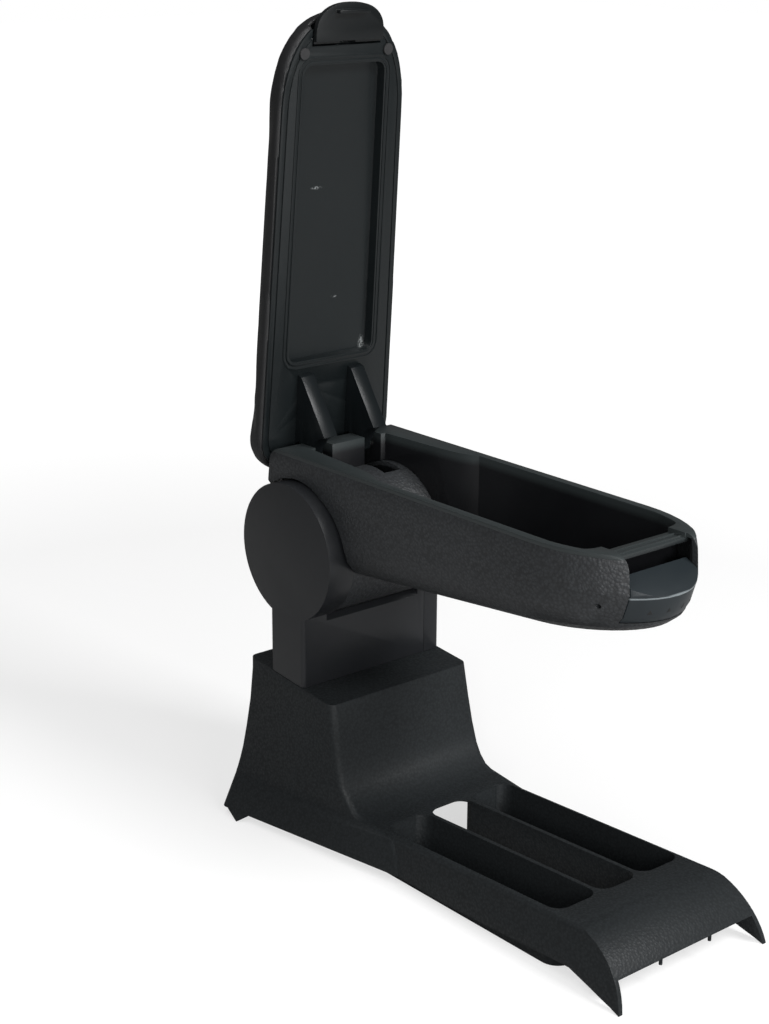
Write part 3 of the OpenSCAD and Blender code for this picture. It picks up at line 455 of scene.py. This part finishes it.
def soft_rubber(name, dark, pale):
    material, tree, shader = new_material(name)
    place = object_place(tree)
    dust = noise(tree, place, RUBBER_DUST, 4)
    tree.links.new(blend_colours(tree, dust, dark, pale), shader.inputs["Base Color"])
    tree.links.new(spread(tree, dust, (0.3, 0.7), (0.62, 0.8)), shader.inputs["Roughness"])
    raise_surface(tree, shader, noise(tree, place, RUBBER_GRAIN, 2), 0.25, TEXTURE_DEPTH)
    return material


# Grip marks on the paddle's front


def grip_marks(carrier):
    front = BVHTree.FromObject(carrier, bpy.context.evaluated_depsgraph_get())
    marks = []
    for x in MARK_X:
        start = Vector((x, IN_FRONT_OF_PADDLE, MARK_Z)) * MM
        found, normal, _, _ = front.ray_cast(start, Vector((0, 1, 0)))
        deselect_all()
        bpy.ops.mesh.primitive_cylinder_add(vertices=3, radius=MARK_R * MM, depth=MARK_LENGTH * MM)
        mark = bpy.context.active_object
        facing = normal.to_track_quat("Z", "Y").to_matrix().to_4x4()
        mark.matrix_world = Matrix.Translation(found - normal * MARK_SINK * MM) @ facing
        settle(mark)
        marks.append(mark)
    choose(marks[0])
    for mark in marks:
        mark.select_set(True)
    bpy.ops.object.join()
    piece = bpy.context.active_object
    piece.name = "paddle_grip_marks"
    apply_modifier(piece, "BEVEL", width=MARK_EDGE * MM, segments=2)
    round_shading(piece)
    dress_as(piece, "release_paddle", mark_plastic)


# The padded lid


def full_form(node, name):
    """The outer form of a lid piece with its hollows filled, with the lid closed."""
    piece = merged_copy(node, name)
    start_edit(piece)
    bpy.ops.mesh.convex_hull(delete_unused=True, use_existing_faces=False)
    end_edit()
    move_by(piece, LID_OPEN.inverted())
    return piece


def swell(piece):
    """Fills the cover from inside, with its lower edge held at the liner's lip."""
    held = piece.vertex_groups.new(name="held")
    held.add([v.index for v in piece.data.vertices if v.co.z < LID_Z + PAD_HELD], 1.0, "REPLACE")
    start = [v.co.copy() for v in piece.data.vertices]
    choose(piece)
    cloth = piece.modifiers.new("Cloth", "CLOTH")
    cloth.settings.use_pressure = True
    cloth.settings.uniform_pressure_force = PAD_PRESSURE
    cloth.settings.effector_weights.gravity = 0
    cloth.settings.vertex_group_mass = held.name
    cloth.point_cache.frame_end = PAD_FRAMES
    for frame_number in range(1, PAD_FRAMES + 1):
        bpy.context.scene.frame_set(frame_number)
    bpy.ops.object.modifier_apply(modifier=cloth.name)
    for vertex, before in zip(piece.data.vertices, start):
        step = vertex.co - before
        if step.length > PAD_SWELL:
            vertex.co = before + step.normalized() * PAD_SWELL
    piece.vertex_groups.clear()
    bpy.context.scene.frame_set(1)


def carve(piece, tool):
    apply_modifier(piece, "BOOLEAN", operation="DIFFERENCE", solver="EXACT", object=tool)
    bpy.data.objects.remove(tool)


def notch_space():
    deselect_all()
    bpy.ops.mesh.primitive_cube_add(size=1)
    notch = bpy.context.active_object
    notch.scale = (2 * NOTCH_HALF, NOTCH_Y[1] - NOTCH_Y[0], 2 * NOTCH_DEPTH)
    notch.location = (0, (NOTCH_Y[0] + NOTCH_Y[1]) / 2, LID_Z)
    settle(notch)
    return notch


def lid_cushion():
    piece = full_form("lid_pad", "lid_cushion")
    apply_modifier(piece, "DISPLACE", strength=-PAD_SLACK, mid_level=0)
    piece.data.remesh_voxel_size = PAD_GRID
    choose(piece)
    bpy.ops.object.voxel_remesh()
    swell(piece)
    apply_modifier(piece, "SMOOTH", factor=0.5, iterations=1)
    apply_modifier(piece, "SUBSURF", levels=1)

    hollow = full_form("lid_liner", "liner_space")
    apply_modifier(hollow, "DISPLACE", strength=LINER_GAP, mid_level=0)
    carve(piece, hollow)
    carve(piece, notch_space())

    move_by(piece, LID_OPEN)
    round_shading(piece, CUSHION_SHARP_ANGLE)
    dress_as(piece, "lid_pad", cover_leather)
    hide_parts("lid_pad")


# Floor, light and camera


def background_seen(tree):
    """How white the background is: 1 for the camera, and a small share of it in reflections."""
    path = tree.nodes.new("ShaderNodeLightPath")
    mirrored = combine(tree, "MAXIMUM", path.outputs["Is Glossy Ray"], path.outputs["Is Transmission Ray"])
    return combine(tree, "MAXIMUM", path.outputs["Is Camera Ray"],
                   combine(tree, "MULTIPLY", mirrored, MIRRORED_SHARE))


def pale_floor():
    bpy.ops.mesh.primitive_plane_add(size=FLOOR_SIZE, location=(0, 0, -FLOOR_DROP))
    floor = bpy.context.active_object
    floor.name = "studio_floor"
    settle(floor)
    material = bpy.data.materials.new("pale floor")
    material.use_nodes = True
    tree = material.node_tree
    tree.nodes.clear()
    output = tree.nodes.new("ShaderNodeOutputMaterial")
    matt = tree.nodes.new("ShaderNodeBsdfDiffuse")
    matt.inputs["Color"].default_value = (FLOOR_GREY, FLOOR_GREY, FLOOR_GREY, 1)
    lift = tree.nodes.new("ShaderNodeEmission")
    lift.inputs["Color"].default_value = (1, 1, 1, 1)
    white = spread(tree, length_of(tree, object_place(tree)), FLOOR_REACH, FLOOR_WHITE)
    tree.links.new(combine(tree, "MULTIPLY", background_seen(tree), white), lift.inputs["Strength"])
    both = tree.nodes.new("ShaderNodeAddShader")
    tree.links.new(matt.outputs[0], both.inputs[0])
    tree.links.new(lift.outputs[0], both.inputs[1])
    tree.links.new(both.outputs[0], output.inputs["Surface"])
    floor.data.materials.append(material)


def white_sky():
    world = bpy.data.worlds.new("studio")
    bpy.context.scene.world = world
    world.use_nodes = True
    tree = world.node_tree
    tree.nodes.clear()
    output = tree.nodes.new("ShaderNodeOutputWorld")
    sky = tree.nodes.new("ShaderNodeBackground")
    sky.inputs["Color"].default_value = (1, 1, 1, 1)
    tree.links.new(combine(tree, "MAXIMUM", background_seen(tree), SKY_LIGHT), sky.inputs["Strength"])
    tree.links.new(sky.outputs[0], output.inputs["Surface"])


def soft_box(name, place, aim, size, power):
    data = bpy.data.lights.new(name, "AREA")
    data.shape = "RECTANGLE"
    data.size, data.size_y = size
    data.energy = power
    lamp = bpy.data.objects.new(name, data)
    bpy.context.scene.collection.objects.link(lamp)
    lamp.location = place
    lamp.rotation_euler = (Vector(aim) - Vector(place)).to_track_quat("-Z", "Y").to_euler()


def photo_camera():
    azimuth, elevation, roll = (math.radians(angle) for angle in CAMERA_TURN)
    flat = math.cos(elevation)
    back = Vector((math.sin(azimuth) * flat, -math.cos(azimuth) * flat, math.sin(elevation)))
    level = Vector((math.cos(azimuth), math.sin(azimuth), 0))
    upright = back.cross(level)
    right = level * math.cos(roll) + upright * math.sin(roll)
    up = upright * math.cos(roll) - level * math.sin(roll)
    data = bpy.data.cameras.new("photo_camera")
    data.lens = CAMERA_LENS
    data.sensor_width = CAMERA_SENSOR
    data.clip_end = CAMERA_REACH
    camera = bpy.data.objects.new("photo_camera", data)
    bpy.context.scene.collection.objects.link(camera)
    turn = Matrix((right, up, back)).transposed().to_4x4()
    camera.matrix_world = Matrix.Translation(CAMERA_PLACE) @ turn
    bpy.context.scene.camera = camera


# Materials of the armrest

console_grain = grained_plastic("console grain", (0.0085, 0.0098, 0.0106), (0.0215, 0.0246, 0.0264),
                                grain=560, strength=0.34, gloss=0.40, fade=GRAIN_FADE, shine=0.17)
bin_grain = grained_plastic("bin grain", (0.0060, 0.0066, 0.0076), (0.0310, 0.0345, 0.0380),
                            grain=500, strength=0.6, gloss=0.44)
column_texture = fine_plastic("column texture", (0.0090, 0.0098, 0.0112), (0.0140, 0.0150, 0.0168),
                              gloss=0.33, shine=0.36)
# The liner's rim is painted paler than its dark inside: painted light on the rim, where light falls from
# above
liner_texture = fine_plastic("liner texture", (0.0026, 0.0028, 0.0036), (0.0046, 0.0050, 0.0062),
                             gloss=0.42, band=RIM_PAINTED_LIGHT, painted_light_colour=(0.020, 0.0250, 0.0260))
lid_liner_texture = scuffed_plastic("lid liner texture", (0.0040, 0.0058, 0.0064), (0.0064, 0.0086, 0.0094),
                                    scuff=(0.16, 0.17, 0.17))
arm_texture = fine_plastic("arm texture", (0.0044, 0.0058, 0.0066), (0.0070, 0.0088, 0.0097),
                           gloss=0.3, shine=0.13)
lever_plastic = fine_plastic("lever plastic", (0.0022, 0.0032, 0.0037), (0.0038, 0.0050, 0.0055),
                             strength=0.1, gloss=0.38, shine=0.36)
# The paddle's thin pale band along its top front edge is a painted highlight
paddle_plastic = fine_plastic("paddle plastic with painted highlight", (0.0085, 0.0125, 0.0150), (0.0120, 0.0165, 0.0195),
                              strength=0.1, shine=0.4, band=PADDLE_PAINTED_HIGHLIGHT, painted_light_colour=(0.16, 0.18, 0.19))
mark_plastic = fine_plastic("grip mark plastic", (0.0016, 0.0018, 0.0020), (0.0030, 0.0032, 0.0035),
                            gloss=0.6)
cover_leather = imitation_leather("cover leather", (0.0018, 0.0020, 0.0025), (0.0060, 0.0066, 0.0078))
bush_acetal = fine_plastic("bush acetal", (0.48, 0.48, 0.45), (0.58, 0.58, 0.55), strength=0.05)
plated_steel = turned_steel("plated steel", (0.34, 0.35, 0.36), (0.48, 0.49, 0.50))
bright_steel = turned_steel("bright steel", (0.55, 0.56, 0.57), (0.70, 0.71, 0.72), gloss=0.24)
bumper_rubber = soft_rubber("bumper rubber", (0.006, 0.006, 0.007), (0.020, 0.020, 0.021))

FINISH = {
    "console_plastic": console_grain,
    "column_plastic": column_texture,
    "bin_plastic": bin_grain,
    "liner_plastic": liner_texture,
    "lid_liner_plastic": lid_liner_texture,
    "lever_plastic": lever_plastic,
    "paddle_plastic": paddle_plastic,
    "pad_cover": cover_leather,
    "bush_plastic": bush_acetal,
    "bracket_steel": plated_steel,
    "bright_steel": bright_steel,
    "bumper_rubber": bumper_rubber,
}

for node, thing in NODES.items():
    thing.data.materials.clear()
    thing.data.materials.append(FINISH[SLOT_OF[node]])
    round_shading(thing)

# Hard mouldings with softened edges, and what they carry

moulded_copy("base_console", "console_moulding", 1.4, console_grain, segments=3)
moulded_copy("column_body", "column_moulding", 1.0, column_texture, segments=3)
moulded_copy("column_cover", "column_side_cover", 1.0, column_texture, segments=3)
moulded_copy("bin_shell", "bin_outer_moulding", 1.0, bin_grain, segments=3)
moulded_copy("bin_liner", "bin_inner_moulding", 0.7, liner_texture)
moulded_copy("lid_liner", "lid_inner_moulding", 0.5, lid_liner_texture)
moulded_copy("left_hinge_arm", "left_arm_moulding", 0.8, arm_texture)
moulded_copy("right_hinge_arm", "right_arm_moulding", 0.8, arm_texture)
moulded_copy("latch_lever", "lever_moulding", 0.7, lever_plastic)
paddle = moulded_copy("release_paddle", "paddle_moulding", 0.8, paddle_plastic, angle=25, segments=3)
grip_marks(paddle)
lid_cushion()

pale_floor()
white_sky()
for lamp_values in LAMPS:
    soft_box(*lamp_values)
photo_camera()
bpy.context.scene.view_settings.view_transform = "Standard"
